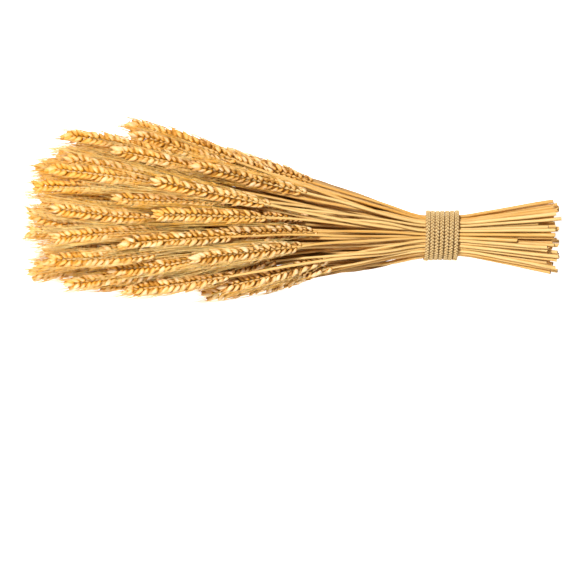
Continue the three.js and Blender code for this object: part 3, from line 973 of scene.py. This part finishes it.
# Jute binding
# A cord plaited from three jute strands is wound seven times round the stems, turn beside turn, its
# strands thinning at its two ends. The outer turns lie a little higher than the middle ones, and short
# fibres stand out.
TURNS = 7
TWINE = 0.0037
STRANDS = 3
STRAND_RADIUS = 0.0009
STRAND_SIDES = 8
PLAIT_LENGTH = 0.0081
PLAIT_SWING = 0.00112
PLAIT_RISE = 0.0007
STRAND_CUTS = (11, 11, 12)
MIDDLE_SINK = 0.0006
TWINE_WANDER = 0.0002
WANDERS_A_TURN = 4
READINGS_A_TURN = 64
PLY_DEPTH = 0.1
PLIES_A_PLAIT = 3
# the strands thin out at the cord's two ends, by the share of its length
STRAND_ENDS = ((0, 0.4), (0.004, 1), (0.996, 1), (1, 0.4))
FUZZ = 220
FUZZ_LENGTH = 0.0032
FUZZ_LENGTHS = (0.4, 1.3)
FUZZ_PLACES = (0.01, 0.99)
FUZZ_ROOT = 0.0011
FUZZ_LEAN = 1
FUZZ_DRIFT = 0.6
FUZZ_AROUND = 0.0013
FUZZ_RISE = 0.75
FUZZ_SAG = 0.35
FUZZ_THICKNESS = 0.35
FUZZ_HEIGHT_LOOK = 2.0

twine_pitch = (tie_high[0] - tie_low[0] - TWINE) / TURNS
twine_half_width = (tie_high[1] - tie_low[1] - TWINE) / 2
twine_half_height = (tie_high[2] - tie_low[2] - TWINE) / 2
wander_turns = np.linspace(-TURNS / 2, TURNS / 2, TURNS * WANDERS_A_TURN + 1)
wander_along = spread(TWINE_WANDER, len(wander_turns))
wander_out = draw.uniform(0, TWINE_WANDER, len(wander_turns))
wander_along[[0, -1]] = 0


def twine_course(turn):
    """The cord's middle at a number of turns from the middle of the tie, and its outward direction."""
    angle = math.pi / 2 + turn * 2 * math.pi
    sink = MIDDLE_SINK * (1 - (2 * turn / TURNS) ** 2) + np.interp(turn, wander_turns, wander_out)
    outward = np.stack([np.zeros_like(turn), np.cos(angle), np.sin(angle)], axis=1)
    oval = np.array([0, twine_half_width, twine_half_height])
    middle = outward * (oval - sink[:, None])
    middle[:, 0] = -turn * twine_pitch + np.interp(turn, wander_turns, wander_along)
    normal = unit(outward / (oval + np.array([1, 0, 0])))
    return middle + tie_middle, normal


def strand_model():
    """A straight strand along z, of unit length. Its long edges are cut again and again into short ones."""
    strand = start_primitive(
        bpy.ops.mesh.primitive_cylinder_add, vertices=STRAND_SIDES, radius=1, depth=1, location=(0, 0, 0.5)
    )
    for parts in STRAND_CUTS:
        select(strand, "EDGE", lambda edge: (edge.verts[0].co - edge.verts[1].co).xy.length < 1e-6)
        bpy.ops.mesh.subdivide(number_cuts=parts - 1)
    bpy.ops.object.mode_set(mode="OBJECT")
    return Shape.of(strand)


around_tie = np.linspace(-TURNS / 2, TURNS / 2, TURNS * READINGS_A_TURN)
cord_middle, cord_outward = twine_course(around_tie)
cord_lengths = np.concatenate([[0], np.cumsum(np.linalg.norm(np.diff(cord_middle, axis=0), axis=1))])
cord_length = cord_lengths[-1]
plaits = round(cord_length / PLAIT_LENGTH)
strand_shape = strand_model()


def cord_at(at):
    """The cord's middle at lengths along it, with the directions outwards, ahead and across there."""
    middle = along_course(cord_lengths, cord_middle, at)
    outward = unit(along_course(cord_lengths, cord_outward, at))
    ahead = unit(along_course(cord_lengths, np.gradient(cord_middle, axis=0), at))
    return middle, outward, ahead, np.cross(outward, ahead)


def strand_of(index):
    """One strand of the plait: it swings from side to side and passes over and under the other two."""
    x, y, share = strand_shape.points.T
    at = share * cord_length
    middle, outward, _, across = cord_at(at)
    swing = 2 * math.pi * (share * plaits + index / STRANDS)
    turn = np.arctan2(y, x)
    ply = 1 + PLY_DEPTH * np.cos(2 * turn + 2 * math.pi * share * plaits * PLIES_A_PLAIT)
    radius = STRAND_RADIUS * ply * np.interp(share, *zip(*STRAND_ENDS))
    off_across = PLAIT_SWING * np.sin(swing) + radius * x
    off_out = PLAIT_RISE * np.sin(2 * swing) + radius * y
    points = middle + across * off_across[:, None] + outward * off_out[:, None]
    # the third look is a point's height above the cord's middle, which the jute finish turns into painted
    # shade
    looks = np.column_stack([np.full(len(points), index / STRANDS), at, off_out / STRAND_RADIUS])
    shape = strand_shape.copy(points, looks)
    shape.uv[:, 1] = at[shape.triangles.ravel()]
    return shape


def fuzz_of():
    """Short fibres that stand out of the cord."""
    shapes = []
    for index in range(FUZZ):
        at = np.full(len(awn_along), draw.uniform(*FUZZ_PLACES) * cord_length)
        middle, outward, ahead, across = cord_at(at)
        reach = FUZZ_LENGTH * draw.uniform(*FUZZ_LENGTHS) * awn_along
        off_ahead = reach * spread(FUZZ_LEAN) + awn_shape.points[:, 0] * FUZZ_THICKNESS
        off_across = reach * spread(FUZZ_DRIFT) + awn_shape.points[:, 1] * FUZZ_THICKNESS
        off_across = off_across + spread(FUZZ_AROUND)
        off_out = FUZZ_ROOT + reach * (FUZZ_RISE - FUZZ_SAG * awn_along)
        points = middle + outward * off_out[:, None]
        points = points + ahead * off_ahead[:, None] + across * off_across[:, None]
        # the fibres stand high, so they get none of the painted shade
        looks = np.column_stack([np.full(len(points), 0.5), at, np.full(len(points), FUZZ_HEIGHT_LOOK)])
        fibre = awn_shape.copy(points, looks)
        fibre.uv[:] = 0
        shapes.append(fibre)
    return shapes


def jute_finish():
    """Dull beige-brown jute with fine twisted fibres. The strands are painted darker where they dip between
    each other, as painted shade.
    """
    light = (0.70, 0.48, 0.20, 1)
    dark = (0.34, 0.175, 0.05, 1)
    pale = (0.96, 0.78, 0.45, 1)
    finish = Finish("jute")
    strand, _, height = finish.looks()
    around, along = finish.surface()
    twist = finish.vector(around * 9 + along * 420, along * 300, strand * 20)
    fibres = finish.noise(twist, 1, 4)
    patches = finish.noise(finish.place(), 260, 3)
    # painted shade: the strands are darkened where they lie low, dipping between each other; pale frayed
    # fibres show only on the raised parts
    depth = finish.between(height, 0.25, 1.55)
    frayed = finish.between(fibres + (patches - 0.5) * 0.6, 0.5, 0.75) * depth * 0.7
    colour = finish.mix(depth, dark, light)
    colour = finish.mix(frayed, colour, pale)
    return finish.finished(
        Base_Color=colour,
        Roughness=0.85,
        Normal=finish.bump(fibres + patches * 0.5, 0.0005, 0.8),
    )


strands = [strand_of(index) for index in range(STRANDS)]
binding = Shape.joined([*strands, *fuzz_of()]).piece("plaited_binding")
binding.data.materials.append(jute_finish())
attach(binding, "root")
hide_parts(TIE_NODE)

# Floor, light and camera
# The bundle lies on a plain white table under soft light from above, and the camera looks straight down
# on it. The table and the lamps are no part of it.
FLOOR_SIZE = 8
PHOTO_PIXELS = 576
PIXEL = 0.00082
TIE_MIDDLE_PIXEL = (442.5, 235)
CAMERA_HEIGHT = 3.2
BUNDLE_MIDDLE_HEIGHT = 0.045
SENSOR = 36
# each lamp's place, size and power
KEY_LIGHT = ((-0.45, 0.65, 1.95), 0.26, 51)
FILL_LIGHT = ((-0.4, -1.5, 1.1), 0.9, 18)
LIGHT_ALL_ROUND = 0.17


def floor_finish():
    """A plain white table top that glows a little, so that it stays white round the bundle."""
    grey_white = (0.93, 0.93, 0.93, 1)
    white = (0.97, 0.97, 0.97, 1)
    finish = Finish("white_table")
    grain = finish.noise(finish.place(), 40, 2)
    return finish.finished(
        Base_Color=finish.mix(grain, grey_white, white),
        Roughness=0.9,
        Emission_Color=(1, 1, 1, 1),
        Emission_Strength=0.82,
    )


bpy.ops.object.select_all(action="DESELECT")
bpy.ops.mesh.primitive_plane_add(size=FLOOR_SIZE)
floor = bpy.context.object
floor.name = "floor"
floor.data.materials.append(floor_finish())


def soft_light(name, place, size, power):
    """A large square lamp that points at the bundle."""
    lamp = bpy.data.lights.new(name, "AREA")
    lamp.size = size
    lamp.energy = power
    holder = bpy.data.objects.new(name, lamp)
    holder.location = place
    aim = Vector((0, 0, BUNDLE_MIDDLE_HEIGHT)) - Vector(place)
    holder.rotation_euler = aim.to_track_quat("-Z", "Y").to_euler()
    bpy.context.collection.objects.link(holder)


soft_light("key_light", *KEY_LIGHT)
soft_light("fill_light", *FILL_LIGHT)

world = bpy.data.worlds.new("studio")
world.use_nodes = True
background = world.node_tree.nodes["Background"]
background.inputs["Color"].default_value = (1, 1, 1, 1)
background.inputs["Strength"].default_value = LIGHT_ALL_ROUND
bpy.context.scene.world = world
bpy.context.scene.view_settings.view_transform = "Standard"

lens = bpy.data.cameras.new("camera")
lens.sensor_width = SENSOR
lens.lens = SENSOR * (CAMERA_HEIGHT - BUNDLE_MIDDLE_HEIGHT) / (PHOTO_PIXELS * PIXEL)
camera = bpy.data.objects.new("camera", lens)
middle_x = tie_middle[0] - (TIE_MIDDLE_PIXEL[0] - PHOTO_PIXELS / 2) * PIXEL
middle_y = tie_middle[1] + (TIE_MIDDLE_PIXEL[1] - PHOTO_PIXELS / 2) * PIXEL
camera.location = (middle_x, middle_y, CAMERA_HEIGHT)
camera.rotation_euler = Euler((0, 0, 0))
bpy.context.collection.objects.link(camera)
bpy.context.scene.camera = camera
